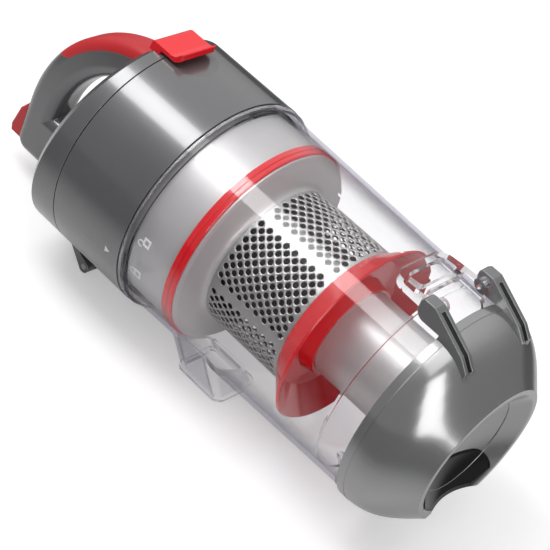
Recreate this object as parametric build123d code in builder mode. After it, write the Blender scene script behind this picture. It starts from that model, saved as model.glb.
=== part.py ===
# Cyclone dust bin of a bagless vacuum cleaner, lying on its inlet mouth, cover hinge and lid catch.
# The bin's axis runs along +X, from the carrying handle to the domed lid. +Z is up, and the inlet
# duct leans out of the -Y side. Places along the axis are counted from the seam between the collar
# and the clear canister, heights from the axis, and all lengths are millimetres.
from build123d import *
import os
from math import cos, pi, radians, sin, sqrt

# Clearances
seam_gap = 0.8          # visible joint between two shells
running_gap = 0.5       # between pieces that move past each other
pin_gap = 0.05          # radial play of a pivot pin in its bore
seat_gap = 0.1          # between pieces that are pushed together

# Clear canister
bin_length = 173.0
bin_inset = 2.2         # of the wall's head end, inside the collar's outer radius
bin_taper = 4.4         # of the wall's radius, from head to foot
bin_wall = 2.4
lip_width = 4.8
neck_length = 11.0
neck_wall = 1.8
bayonet_count = 3
bayonet_depth = 1.2     # how far a lug stands out of the neck
bayonet_width = 2.5
lug_arc = 30.0
ramp_arc = 50.0
locked_overlap = 20.0   # angle of a lug that lies behind its ramp when locked
bead_inset = 18.0       # of the inner bead, from the canister's foot
bead_depth = 1.2
bead_width = 2.0

# Tangential inlet duct
duct_place = 55.0
duct_length = 34.0
duct_width = 25.0
duct_wall = 2.2
duct_lean = 30.0        # from straight down, towards the middle of the bin
duct_round = 5.0
mouth_rim = 1.5
mouth_rim_height = 2.0
axis_height = 82.0      # of the bin's axis above the mouth of the duct

# Collar
collar_radius = 72.0
collar_length = 55.0
collar_wall = 2.5
shelf_place = 17.0
shelf_width = 15.5
shelf_thickness = 2.5
outlet_length = 22.0
outlet_width = 30.0
outlet_place = 33.0
thumb_radius = 17.0
thumb_depth = 1.4

# Cyclone, shroud and filter
cyclone_wall = 2.2
cyclone_gap = 1.2       # between the cyclone body and the canister's neck
ring_place = 33.0
ring_width = 8.0
screen_wall = 1.2
screen_place = 48.0
screen_length = 57.0
hole_rows = 8
panel_columns = 3
panel_count = 6
hole_radius = 2.9
skirt_gap = 5.2         # between the skirt's rim and the canister
skirt_brim = 13.2       # of the rim past the screen
skirt_depth = 14.5
skirt_wall = 2.0
tube_radius = 28.0
tube_wall = 1.8
cone_gap = 6.0          # between the inner cone's mouth and the screen
cone_wall = 1.6
finder_radius = 16.0
finder_length = 40.0
plate_thickness = 2.0
filter_gap = 3.5
filter_rim = 3.0
filter_height = 31.0
foam_height = 7.0
pleat_count = 32
pleat_depth = 14.0
screw_radius = 1.5
screw_head = 3.0
cyclone_screw_inset = 4.2  # from the shelf's inner edge

# Top cover, handle, latch and end button
cover_wall = 2.5
cover_height = 20.5     # from its seam to its slanted top, on the axis
cover_slant = 7.5
cover_bevel = 4.0
handle_width = 24.0
handle_rise = 21.0      # of the loop's outer sweep past the collar's radius
handle_thickness = 24.0
handle_drop = 30.0      # of the sweep's centre, below the axis
handle_round = 8.0
handle_end_inset = 8.0  # of the pillar's lower face, inside the collar's radius
handle_end_lean = 2.0
pillar_inner_drop = 27.0
opening_round = 10.0
strip_thickness = 7.5
strip_end_angle = 152.0
button_inset = 5.0      # of the button's lower face, above the pillar's
button_height = 27.0
button_width = 16.0
button_proud = 8.0
button_travel = 4.0
button_shank = 12.0
button_spring_length = 11.0
spring_leaf = 0.8
latch_width = 30.0
latch_thickness = 2.6
latch_lip = 5.5
latch_reach = 6.5       # of its flat panel past the cover's seam
latch_corner = 4.5
latch_pivot_inset = 6.2  # of the pivot, from the cover's seam
latch_pivot_drop = 6.5   # below the top of the collar
latch_barrel = 2.8
latch_pin_radius = 1.3

# Domed lid with its prongs, and the canister's hinge bracket and catch
dome_band = 5.0
dome_overhang = 2.1     # of the lid's edge past the canister
dome_depth = 40.0
dome_narrowing = 22.5   # of the lid's radius, from its band to its end
dome_sag = 3.5          # how far the lid's end lies below the axis
dome_wall = 2.5
dish_rim = 3.5
dish_depth = 17.0
facet_drop = 36.0       # of the finger facet's edge, below the axis
facet_radius = 70.0
seal_thickness = 2.2
seal_width = 4.0
seat_ring = 31.0
prong_width = 8.0
prong_wall = 2.3
prong_head = 6.0
prong_rise = 2.6        # of its back over the dome
bracket_width = 40.8
bracket_length = 31.0   # from the pivot towards the head
bracket_bar = 5.0
bracket_round = 8.0
bracket_rise = 2.6      # of its low end over the canister
dome_pivot_inset = 10.0  # of the pivot, from the canister's edge
dome_pivot_rise = 4.3   # of the pivot, over the canister's edge
dome_pin_radius = 1.6
dome_hub = 4.4
tongue_width = 14.0
tongue_reach = 14.0
tongue_thickness = 3.0
rib_width = 5.0
rib_length = 20.0

# Cover hinge
cover_pivot_place = -50.0
cover_pivot_radius = 4.0
cover_pin_radius = 2.0
ear_inner = 20.0
ear_outer = 25.4
arm_outer = 32.0
arm_root = 18.0

# Sizes and places that follow from the ones above
collar_inner = collar_radius - collar_wall
neck_radius = collar_inner - running_gap - bayonet_depth - 2 * seat_gap
neck_inner = neck_radius - neck_wall
cyclone_radius = neck_inner - cyclone_gap
shelf_inner = collar_inner - shelf_width
cyclone_screw_ring = shelf_inner + cyclone_screw_inset
filter_radius = collar_inner - filter_gap
bin_head_radius = collar_radius - bin_inset
bin_foot_radius = bin_head_radius - bin_taper
screen_end = screen_place + screen_length
ring_end = ring_place + ring_width
bead_place = bin_length - bead_inset
dome_place = bin_length + seam_gap
dome_end = dome_place + dome_depth
dome_radius = bin_foot_radius + dome_overhang
dome_end_radius = dome_radius - dome_narrowing
dish_radius = dome_end_radius - dish_rim
cover_place = -collar_length - seam_gap
handle_radius = collar_radius + handle_rise
handle_center = (-collar_length, -handle_drop)
handle_end_drop = collar_radius - handle_end_inset
button_low_drop = handle_end_drop - button_inset
button_top_drop = button_low_drop - button_height
handle_end = handle_center[0] - handle_radius - handle_end_lean
button_face = handle_end - button_proud
seam_x = -(button_face + dome_end) / 2
cover_pivot = (cover_pivot_place, -axis_height + cover_pivot_radius)
latch_pivot = (cover_place - latch_pivot_inset, collar_radius - latch_pivot_drop)
dome_pivot = (bin_length - dome_pivot_inset, bin_foot_radius + dome_pivot_rise)
prong_inner = bracket_width / 2 + 2 * seat_gap + running_gap / 2

side = Plane(origin=(seam_x, 0, axis_height), x_dir=(1, 0, 0), z_dir=(0, -1, 0))
bin_axis = Axis((seam_x, 0, axis_height), (1, 0, 0))


def across(place, height=0.0):
    """Plane square to the bin's axis, with Y to the right and Z up."""
    return Plane(origin=(seam_x + place, 0, axis_height + height), x_dir=(0, 1, 0), z_dir=(1, 0, 0))


def bin_outer(place):
    """Outer radius of the canister's tapered wall."""
    return bin_head_radius + (bin_foot_radius - bin_head_radius) * place / bin_length


def bin_inner(place):
    return bin_outer(place) - bin_wall


skirt_radius = bin_inner(screen_end + skirt_depth) - skirt_gap
screen_radius = skirt_radius - skirt_brim
cone_radius = screen_radius - cone_gap


def outline(*points):
    """Closed face through the points of a straight-sided profile."""
    with BuildLine() as edge:
        Polyline(*points, close=True)
    make_face(edge.edges())


def on_loop(radius, angle):
    """Point of the handle's sweep, by radius and angle about its centre."""
    return (
        handle_center[0] + radius * cos(radians(angle)),
        handle_center[1] + radius * sin(radians(angle)),
    )


# Clear hinge bracket: a rounded frame with two windows, moulded on the canister
bracket_start = dome_pivot[0] - bracket_length
bracket_end = dome_pivot[0] + dome_hub
bracket_low = bin_outer(bracket_start) + bracket_rise
window_width = bracket_width - 2 * bracket_bar
window_middle = bracket_start + bracket_length * 0.6
with BuildPart() as bracket:
    with BuildSketch(side):
        outline(
            (bracket_start, 0),
            (bracket_start, bracket_low),
            (dome_pivot[0], dome_pivot[1] + dome_hub / 2),
            (dome_pivot[0], 0),
        )
        with Locations(dome_pivot):
            Circle(dome_hub)
        outline(
            (dome_pivot[0] - dome_hub, 0),
            (dome_pivot[0] - dome_hub, dome_pivot[1]),
            (bracket_end, dome_pivot[1]),
            (bracket_end, 0),
        )
    extrude(amount=bracket_width / 2, both=True)
    with BuildSketch(Plane.XY.offset(axis_height)):
        with Locations((seam_x + (bracket_start + bracket_end) / 2, 0)):
            RectangleRounded(bracket_end - bracket_start, bracket_width, bracket_round)
        with Locations((seam_x + bracket_end - bracket_round / 2, 0)):
            Rectangle(bracket_round, bracket_width)
    extrude(amount=2 * bin_head_radius, mode=Mode.INTERSECT)
    with BuildSketch(Plane.XY.offset(axis_height)):
        with Locations((seam_x + (bracket_start + window_middle) / 2 + bracket_bar / 4, 0)):
            RectangleRounded(
                window_middle - bracket_start - 1.5 * bracket_bar, window_width, bracket_round - bracket_bar
            )
        with Locations((seam_x + (window_middle + bracket_end) / 2 + bracket_bar / 4, 0)):
            Rectangle(bracket_end - window_middle, window_width)
    extrude(amount=2 * bin_head_radius, mode=Mode.SUBTRACT)

# Clear canister: tapered wall, lip and bayonet neck, tangential duct, bracket and catch, one moulding
duct_out = (0, -cos(radians(duct_lean)), -sin(radians(duct_lean)))
duct_down = (0, sin(radians(duct_lean)), -cos(radians(duct_lean)))
duct_offset = bin_outer(duct_place) - duct_width / 2
duct_plane = Plane(
    origin=(seam_x + duct_place, duct_out[1] * duct_offset, axis_height + duct_out[2] * duct_offset),
    x_dir=(1, 0, 0),
    z_dir=duct_down,
)
duct_run = (axis_height + duct_out[2] * duct_offset) / cos(radians(duct_lean))
duct_reach = duct_run + duct_width
mouth_center = (seam_x + duct_place, duct_out[1] * duct_offset + duct_run * sin(radians(duct_lean)))
mouth_width = duct_width / cos(radians(duct_lean))
lip_radius = collar_radius - running_gap
lug_place = -neck_length + 1
rib_place = tongue_width / 2 + running_gap + rib_width / 2

with BuildPart() as clear_bin:
    with BuildSketch(side):
        outline(
            (-neck_length, 0),
            (-neck_length, neck_radius),
            (seam_gap, neck_radius),
            (seam_gap, lip_radius),
            (seam_gap + lip_width, lip_radius),
            (seam_gap + lip_width, bin_outer(seam_gap + lip_width)),
            (bin_length, bin_foot_radius),
            (bin_length, 0),
        )
    revolve(axis=bin_axis)
    with BuildSketch(side) as lug_profile:
        outline(
            (lug_place, neck_radius - neck_wall),
            (lug_place, neck_radius + bayonet_depth),
            (lug_place + bayonet_width, neck_radius + bayonet_depth),
            (lug_place + bayonet_width, neck_radius - neck_wall),
        )
    first_lug = revolve(axis=bin_axis, revolution_arc=lug_arc, mode=Mode.PRIVATE)
    for turn in range(bayonet_count):
        add(first_lug.rotate(bin_axis, turn * 360 / bayonet_count))
    with BuildSketch(duct_plane):
        RectangleRounded(duct_length, duct_width, duct_round)
    extrude(amount=duct_reach)
    split(bisect_by=Plane.XY, keep=Keep.TOP)
    with BuildSketch(Plane.XY):
        with Locations(mouth_center):
            RectangleRounded(duct_length + 2 * mouth_rim, mouth_width + 2 * mouth_rim, duct_round + mouth_rim)
    extrude(amount=mouth_rim_height)
    add(bracket.part)
    for rib_side in (1, -1):
        with BuildSketch(side.offset(rib_side * rib_place)):
            outline(
                (bin_length - 1.4 * rib_length, 0),
                (bin_length - 1.4 * rib_length, -bin_foot_radius),
                (bin_length - rib_length, -axis_height),
                (bin_length - 2, -axis_height),
                (bin_length, -axis_height + 2),
                (bin_length, 0),
            )
        extrude(amount=rib_width / 2, both=True)
    with BuildSketch(side):
        outline(
            (-neck_length, 0),
            (-neck_length, neck_inner),
            (seam_gap, neck_inner),
            (seam_gap + lip_width, bin_inner(seam_gap + lip_width)),
            (bead_place - bead_width / 2, bin_inner(bead_place)),
            (bead_place, bin_inner(bead_place) - bead_depth),
            (bead_place + bead_width / 2, bin_inner(bead_place)),
            (bin_length, bin_inner(bin_length)),
            (bin_length, 0),
        )
    revolve(axis=bin_axis, mode=Mode.SUBTRACT)
    with BuildSketch(duct_plane):
        RectangleRounded(duct_length - 2 * duct_wall, duct_width - 2 * duct_wall, duct_round - duct_wall)
    extrude(amount=duct_reach, mode=Mode.SUBTRACT)
    with BuildSketch(side):
        with Locations(dome_pivot):
            Circle(dome_pin_radius)
    extrude(amount=bracket_width, both=True, mode=Mode.SUBTRACT)
clear_bin.part.label = "clear_bin"

with BuildPart() as lid_pins:
    for pin_side in (1, -1):
        with BuildSketch(side.offset(pin_side * (window_width / 2 + bracket_bar / 2))):
            with Locations(dome_pivot):
                Circle(dome_pin_radius - pin_gap)
        extrude(amount=pin_side * (prong_inner + prong_wall - window_width / 2 - bracket_bar / 2))
lid_pins.part.label = "lid_pins"

# Collar: round shell with a shelf for the cyclone, bayonet ramps, outlet and the cover's hinge ears
ramp_place = lug_place + bayonet_width + running_gap
ear_top = -sqrt(collar_radius**2 - ear_outer**2) + collar_wall / 4
with BuildPart() as collar:
    with BuildSketch(side):
        outline(
            (-collar_length, collar_inner),
            (-collar_length, collar_radius),
            (0, collar_radius),
            (0, collar_inner),
            (-shelf_place + shelf_thickness, collar_inner),
            (-shelf_place + shelf_thickness, shelf_inner),
            (-shelf_place, shelf_inner),
            (-shelf_place, collar_inner),
        )
    revolve(axis=bin_axis)
    with BuildSketch(side):
        outline(
            (ramp_place, neck_radius + running_gap),
            (ramp_place, collar_inner + collar_wall / 2),
            (ramp_place + bayonet_width, collar_inner + collar_wall / 2),
            (ramp_place + bayonet_width, neck_radius + running_gap),
        )
    first_ramp = revolve(axis=bin_axis, revolution_arc=ramp_arc, mode=Mode.PRIVATE)
    for turn in range(bayonet_count):
        add(first_ramp.rotate(bin_axis, turn * 360 / bayonet_count + locked_overlap - ramp_arc))
    for ear_side in (1, -1):
        with BuildSketch(side.offset(ear_side * (ear_inner + ear_outer) / 2)):
            with Locations(cover_pivot):
                Circle(cover_pivot_radius)
            outline(
                (cover_pivot[0] - cover_pivot_radius, ear_top),
                (cover_pivot[0] - cover_pivot_radius, cover_pivot[1]),
                (cover_pivot[0] + cover_pivot_radius * 0.6, cover_pivot[1] - cover_pivot_radius * 0.8),
                (cover_pivot[0] + 3.5 * cover_pivot_radius, ear_top),
            )
        extrude(amount=(ear_outer - ear_inner) / 2, both=True)
    with BuildSketch(side):
        with Locations(cover_pivot):
            Circle(cover_pin_radius)
    extrude(amount=arm_outer, both=True, mode=Mode.SUBTRACT)
    with BuildSketch(Plane.XY.offset(axis_height - collar_radius - collar_wall)):
        with Locations((seam_x - outlet_place, 0)):
            RectangleRounded(outlet_length, outlet_width, duct_round)
    extrude(amount=3 * collar_wall + collar_radius / 12, mode=Mode.SUBTRACT)
    with BuildSketch(Plane.XY.offset(axis_height + collar_radius - thumb_depth)):
        with Locations((seam_x + cover_place + latch_reach, 0)):
            Circle(thumb_radius)
    extrude(amount=collar_wall, mode=Mode.SUBTRACT)
    with BuildSketch(across(-shelf_place)):
        with PolarLocations(cyclone_screw_ring, bayonet_count, start_angle=90):
            Circle(screw_radius + seat_gap)
    extrude(amount=shelf_thickness, mode=Mode.SUBTRACT)
collar.part.label = "collar"

with BuildPart() as collar_seal:
    with BuildSketch(side):
        outline(
            (0, collar_inner),
            (0, collar_radius - collar_wall / 4),
            (seam_gap - 0.3, collar_radius - collar_wall / 4),
            (seam_gap - 0.3, collar_inner),
        )
    revolve(axis=bin_axis)
collar_seal.part.label = "collar_seal"

with BuildPart() as cover_hinge_pins:
    for pin_side in (1, -1):
        with BuildSketch(side.offset(pin_side * ear_inner)):
            with Locations(cover_pivot):
                Circle(cover_pin_radius - pin_gap)
        extrude(amount=pin_side * (arm_outer - ear_inner))
cover_hinge_pins.part.label = "cover_hinge_pins"

# Vortex plate, cyclone body and inner cone, stacked on the collar's shelf
plate_place = -shelf_place + shelf_thickness
flange_place = plate_place + plate_thickness
with BuildPart() as vortex_finder:
    with BuildSketch(side):
        outline(
            (plate_place, finder_radius - cone_wall),
            (plate_place, cyclone_radius),
            (flange_place, cyclone_radius),
            (flange_place, finder_radius),
            (plate_place + finder_length, finder_radius),
            (plate_place + finder_length, finder_radius - cone_wall),
        )
    revolve(axis=bin_axis)
    with BuildSketch(across(plate_place)):
        with PolarLocations(cyclone_screw_ring, bayonet_count, start_angle=90):
            Circle(screw_radius + seat_gap)
    extrude(amount=plate_thickness, mode=Mode.SUBTRACT)
vortex_finder.part.label = "vortex_finder"

bell_edge = (ring_end + cyclone_wall / 2, cyclone_radius - cyclone_wall)
bell_middle = (
    ring_end + (screen_place - ring_end) * 0.38,
    screen_radius + (cyclone_radius - screen_radius) * 0.34,
)
with BuildPart() as cyclone_body:
    with BuildSketch(side):
        with BuildLine():
            Polyline(
                (screen_place, screen_radius),
                (screen_place, screen_radius - cyclone_wall),
                (screen_place - cyclone_wall, screen_radius - cyclone_wall),
            )
            Spline(
                (screen_place - cyclone_wall, screen_radius - cyclone_wall),
                (bell_middle[0] - cyclone_wall, bell_middle[1] - cyclone_wall / 2),
                (bell_edge[0] - cyclone_wall, cyclone_radius - 2 * cyclone_wall),
            )
            Polyline(
                (bell_edge[0] - cyclone_wall, cyclone_radius - 2 * cyclone_wall),
                (ring_place - cyclone_wall, cyclone_radius - 2 * cyclone_wall),
                (ring_place - cyclone_wall, cyclone_radius - cyclone_wall),
                (flange_place + cyclone_wall, cyclone_radius - cyclone_wall),
                (flange_place + cyclone_wall, shelf_inner),
                (flange_place, shelf_inner),
                (flange_place, cyclone_radius),
                (ring_end, cyclone_radius),
                bell_edge,
            )
            Spline(bell_edge, bell_middle, (screen_place, screen_radius), tangents=((0.1, -1), (1, -0.1)))
        make_face()
    revolve(axis=bin_axis)
    with BuildSketch(side):
        outline(
            (ring_place, cyclone_radius - cyclone_wall / 2),
            (ring_place, cyclone_radius + cyclone_wall),
            (ring_end - cyclone_wall / 2, cyclone_radius + cyclone_wall),
            (ring_end - cyclone_wall / 2, cyclone_radius - cyclone_wall / 2),
        )
    revolve(axis=bin_axis, mode=Mode.SUBTRACT)
    with BuildSketch(across(flange_place)):
        with PolarLocations(cyclone_screw_ring, bayonet_count, start_angle=90):
            Circle(screw_radius + seat_gap)
    extrude(amount=cyclone_wall, mode=Mode.SUBTRACT)
cyclone_body.part.label = "cyclone_body"

with BuildPart() as cyclone_screws:
    with BuildSketch(across(flange_place + cyclone_wall)):
        with PolarLocations(cyclone_screw_ring, bayonet_count, start_angle=90):
            Circle(screw_head)
    extrude(amount=screw_radius)
    with BuildSketch(across(-shelf_place)):
        with PolarLocations(cyclone_screw_ring, bayonet_count, start_angle=90):
            Circle(screw_radius)
    extrude(amount=shelf_thickness + plate_thickness + cyclone_wall)
cyclone_screws.part.label = "cyclone_screws"

# Red sealing ring with two lips, in a groove of the cyclone body
ring_floor = cyclone_radius - cyclone_wall / 2
ring_radius = bin_inner(ring_end) - running_gap * 0.7
ring_stop = ring_end - cyclone_wall / 2
with BuildPart() as seal_ring:
    with BuildSketch(side):
        outline(
            (ring_place, ring_floor),
            (ring_place, ring_radius),
            (ring_place + ring_width * 0.40, ring_radius),
            (ring_place + ring_width * 0.46, ring_radius - 0.6),
            (ring_place + ring_width * 0.52, ring_radius),
            (ring_stop - 0.6, ring_radius),
            (ring_stop, ring_radius - 0.6),
            (ring_stop, ring_floor),
        )
    revolve(axis=bin_axis)
seal_ring.part.label = "seal_ring"

# Perforated screen: staggered round holes in panels, with plain strips between the panels
row_pitch = screen_length / (hole_rows + 1)
panel_arc = 360 / panel_count
column_pitch = panel_arc / (panel_columns + 1)
hole_planes = []
for row in range(hole_rows):
    stagger = column_pitch / 4 * (1 if row % 2 else -1)
    for panel in range(panel_count):
        for column in range(panel_columns):
            angle = radians(panel * panel_arc + (column + 1) * column_pitch + stagger)
            outward = Vector(0, cos(angle), sin(angle))
            center = Vector(seam_x + screen_place + (row + 1) * row_pitch, 0, axis_height)
            hole_planes.append(Plane(origin=center + outward * screen_radius, z_dir=outward))
with BuildPart() as screen:
    with BuildSketch(across(screen_place)):
        Circle(screen_radius)
        Circle(screen_radius - screen_wall, mode=Mode.SUBTRACT)
    extrude(amount=screen_length)
    with Locations(*[plane.location for plane in hole_planes]):
        Cylinder(hole_radius, 6 * screen_wall, mode=Mode.SUBTRACT)
screen.part.label = "screen"

# Red skirt: an umbrella under the screen that keeps caught dust down
hub_end = screen_end + skirt_depth * 0.75
with BuildPart() as skirt:
    with BuildSketch(side):
        outline(
            (screen_end, tube_radius + seat_gap),
            (screen_end, screen_radius + skirt_wall / 2),
            (screen_end + skirt_depth - skirt_wall / 2, skirt_radius),
            (screen_end + skirt_depth, skirt_radius - skirt_wall / 2),
            (screen_end + skirt_wall, screen_radius - skirt_wall),
            (screen_end + skirt_wall, tube_radius + 2 * skirt_wall),
            (hub_end, tube_radius + skirt_wall),
            (hub_end, tube_radius + seat_gap),
        )
    revolve(axis=bin_axis)
skirt.part.label = "skirt"

tube_end = bin_length - seal_thickness
with BuildPart() as dust_tube:
    with BuildSketch(side):
        outline(
            (screen_end, tube_radius - tube_wall),
            (screen_end, tube_radius),
            (tube_end, tube_radius),
            (tube_end, tube_radius - tube_wall),
        )
    revolve(axis=bin_axis)
dust_tube.part.label = "dust_tube"

with BuildPart() as tube_seal:
    with BuildSketch(side):
        outline(
            (tube_end, tube_radius - tube_wall),
            (tube_end, tube_radius),
            (bin_length, tube_radius - tube_wall / 2),
            (bin_length, tube_radius - tube_wall),
        )
    revolve(axis=bin_axis)
tube_seal.part.label = "tube_seal"

cone_end_radius = tube_radius - tube_wall - seat_gap
with BuildPart() as inner_cone:
    with BuildSketch(side):
        outline(
            (flange_place, cone_radius - cone_wall),
            (flange_place, cone_radius),
            (screen_end - 2 * tube_wall, cone_end_radius),
            (screen_end + 4 * tube_wall, cone_end_radius),
            (screen_end + 4 * tube_wall, cone_end_radius - cone_wall),
            (screen_end - 2 * tube_wall, cone_end_radius - cone_wall),
        )
    revolve(axis=bin_axis)
inner_cone.part.label = "inner_cone"

# Filter set in the collar: a frame with spokes, a pleated element and a foam disc under it
filter_top = -shelf_place - filter_height
frame_inner = filter_radius - filter_rim
with BuildPart() as filter_frame:
    with BuildSketch(across(filter_top)):
        Circle(filter_radius)
        Circle(frame_inner, mode=Mode.SUBTRACT)
    extrude(amount=filter_height)
    with BuildSketch(across(filter_top)):
        Circle(frame_inner / 4)
        for spoke_turn in (0, 60, 120):
            Rectangle(2 * frame_inner + filter_rim, filter_rim, rotation=spoke_turn)
    extrude(amount=filter_rim)
filter_frame.part.label = "filter_frame"

pleat_outer = frame_inner - seat_gap
with BuildPart() as filter_pleats:
    with BuildSketch(across(filter_top + filter_rim)):
        outline(
            *[
                (
                    (pleat_outer - pleat_depth * (fold % 2)) * cos(fold * pi / pleat_count),
                    (pleat_outer - pleat_depth * (fold % 2)) * sin(fold * pi / pleat_count),
                )
                for fold in range(2 * pleat_count)
            ]
        )
    extrude(amount=filter_height - filter_rim - foam_height)
filter_pleats.part.label = "filter_pleats"

with BuildPart() as filter_foam:
    with BuildSketch(across(-shelf_place - foam_height)):
        Circle(frame_inner - seat_gap)
    extrude(amount=foam_height)
filter_foam.part.label = "filter_foam"

# Top cover: round shell with a slanted, bevelled top, hinge arms and a pocket for the latch
slant_plane = Plane(
    origin=(seam_x + cover_place - cover_height, 0, axis_height),
    x_dir=(0, 1, 0),
    z_dir=(-cos(radians(cover_slant)), 0, sin(radians(cover_slant))),
)
cover_reach = 2 * cover_height
pocket_half = latch_width / 2 + running_gap
block_half = pocket_half + cover_wall + 2 * latch_pin_radius
pocket_floor = latch_pivot[1] - latch_barrel - running_gap
pocket_front = latch_pivot[0] + latch_barrel + running_gap
arm_inner = ear_outer + running_gap + seat_gap
arm_top = -sqrt(collar_inner**2 - arm_outer**2)
with BuildPart() as cover_envelope:
    with BuildSketch(across(cover_place)):
        Circle(collar_radius)
    extrude(amount=-cover_reach)
    split(bisect_by=slant_plane, keep=Keep.BOTTOM)
    chamfer(cover_envelope.faces().sort_by(Axis.X)[0].edges(), cover_bevel)

with BuildPart() as cover_hollow:
    with BuildSketch(across(cover_place)):
        Circle(collar_inner)
    extrude(amount=-cover_reach)
    split(bisect_by=slant_plane.offset(-cover_wall), keep=Keep.BOTTOM)
    chamfer(cover_hollow.faces().sort_by(Axis.X)[0].edges(), cover_bevel)
    with BuildSketch(side):
        outline(
            (cover_place, pocket_floor - cover_wall),
            (cover_place, collar_radius),
            (cover_place - cover_reach, collar_radius),
            (cover_place - cover_reach, pocket_floor - cover_wall),
        )
    extrude(amount=block_half, both=True, mode=Mode.SUBTRACT)

with BuildPart() as top_cover:
    add(cover_envelope.part)
    for arm_side in (1, -1):
        with BuildSketch(side.offset(arm_side * (arm_inner + arm_outer) / 2)):
            with Locations(cover_pivot):
                Circle(cover_pivot_radius)
            outline(
                (cover_place - arm_root, arm_top),
                (cover_place, arm_top),
                (cover_place, cover_pivot[1] + 1.6 * cover_pivot_radius),
                (cover_pivot[0] + cover_pivot_radius * 0.6, cover_pivot[1] + cover_pivot_radius * 0.8),
                cover_pivot,
                (cover_pivot[0] - cover_pivot_radius * 0.5, cover_pivot[1] - cover_pivot_radius * 0.86),
            )
        extrude(amount=(arm_outer - arm_inner) / 2, both=True)
    add(cover_hollow.part, mode=Mode.SUBTRACT)
    with BuildSketch(side):
        outline(
            (pocket_front, pocket_floor),
            (pocket_front, 2 * collar_radius),
            (cover_place - cover_reach, 2 * collar_radius),
            (cover_place - cover_reach, pocket_floor),
        )
    extrude(amount=pocket_half, both=True, mode=Mode.SUBTRACT)
    with BuildSketch(side):
        with Locations(cover_pivot):
            Circle(cover_pin_radius)
    extrude(amount=arm_outer, both=True, mode=Mode.SUBTRACT)
    with BuildSketch(side):
        with Locations(latch_pivot):
            Circle(latch_pin_radius)
    extrude(amount=pocket_half + cover_wall, both=True, mode=Mode.SUBTRACT)
    with BuildSketch(slant_plane.offset(-cover_wall)):
        with Locations((0, handle_end_drop * 0.7), (0, -handle_end_drop * 0.75)):
            Circle(screw_radius + seat_gap)
    extrude(amount=cover_wall, mode=Mode.SUBTRACT)
top_cover.part.label = "top_cover"

with BuildPart() as cover_gasket:
    with BuildSketch(side):
        outline(
            (-collar_length - 0.3, collar_inner - 2 * cover_wall),
            (-collar_length - 0.3, collar_inner - seat_gap),
            (cover_place - cover_wall, collar_inner - seat_gap),
            (cover_place - cover_wall, collar_inner - 2 * cover_wall),
        )
    revolve(axis=bin_axis)
    with BuildSketch(side):
        outline(
            (0, pocket_floor - cover_wall - seat_gap),
            (0, collar_radius),
            (cover_place - cover_reach, collar_radius),
            (cover_place - cover_reach, pocket_floor - cover_wall - seat_gap),
        )
    extrude(amount=block_half + seat_gap, both=True, mode=Mode.SUBTRACT)
cover_gasket.part.label = "cover_gasket"

with BuildPart() as latch_pin:
    with BuildSketch(side):
        with Locations(latch_pivot):
            Circle(latch_pin_radius - pin_gap)
    extrude(amount=pocket_half + cover_wall, both=True)
latch_pin.part.label = "latch_pin"

# Carrying handle: a rounded loop from the latch over to a pillar that holds the end button
loop_inner = handle_radius - handle_thickness
loop_high = on_loop(handle_radius, 82)
loop_low = on_loop(handle_radius, 178)
opening_low = on_loop(loop_inner, 177)
opening_high = on_loop(loop_inner, 82)
with BuildPart() as loop:
    with BuildSketch(side) as loop_profile:
        with BuildLine() as loop_edge:
            ThreePointArc(loop_high, on_loop(handle_radius, 130), loop_low)
            Polyline(
                loop_low,
                (handle_end, -handle_end_drop),
                (cover_place, -handle_end_drop),
                (cover_place, loop_high[1]),
                loop_high,
            )
        make_face()
        fillet(loop_profile.vertices().sort_by(Axis.X)[0], opening_round)
        with BuildLine():
            ThreePointArc(opening_high, on_loop(loop_inner, 130), opening_low)
            Polyline(
                opening_low,
                (opening_low[0], -pillar_inner_drop),
                (cover_place + opening_round, -pillar_inner_drop),
                opening_high,
            )
        make_face(mode=Mode.SUBTRACT)
    extrude(amount=handle_width / 2, both=True)
    outer_faces = loop.faces().filter_by(Axis.Y)
    long_edges = outer_faces.edges().filter_by(lambda edge: edge.center().X < seam_x + cover_place - cover_reach / 2)
    fillet(long_edges, handle_round)
    split(bisect_by=slant_plane, keep=Keep.TOP)

with BuildPart() as strip_region:
    with BuildSketch(side):
        with BuildLine():
            ThreePointArc(
                on_loop(handle_radius - strip_thickness, 70),
                on_loop(handle_radius - strip_thickness, 110),
                on_loop(handle_radius - strip_thickness, strip_end_angle - 8),
            )
            Polyline(
                on_loop(handle_radius - strip_thickness, strip_end_angle - 8),
                on_loop(handle_radius + 1, strip_end_angle),
                on_loop(2 * handle_radius, strip_end_angle - 20),
                on_loop(2 * handle_radius, 70),
                on_loop(handle_radius - strip_thickness, 70),
            )
        make_face()
    extrude(amount=handle_width, both=True)

pocket_top = -button_top_drop + running_gap
pocket_low = -button_low_drop - running_gap
pocket_end = handle_end + handle_end_lean + button_shank + button_spring_length
with BuildPart() as handle:
    add(loop.part)
    add(strip_region.part, mode=Mode.SUBTRACT)
    with BuildSketch(side):
        outline(
            (handle_end - button_proud, pocket_top),
            (pocket_end, pocket_top),
            (pocket_end, pocket_low),
            (handle_end - button_proud, pocket_low),
        )
    extrude(amount=button_width / 2 + running_gap, both=True, mode=Mode.SUBTRACT)
    with BuildSketch(slant_plane):
        with Locations((0, handle_end_drop * 0.7), (0, -handle_end_drop * 0.75)):
            Circle(screw_radius)
    extrude(amount=3 * cover_wall, mode=Mode.SUBTRACT)
handle.part.label = "handle"

with BuildPart() as grip_strip:
    add(loop.part)
    add(strip_region.part, mode=Mode.INTERSECT)
grip_strip.part.label = "grip_strip"

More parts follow.
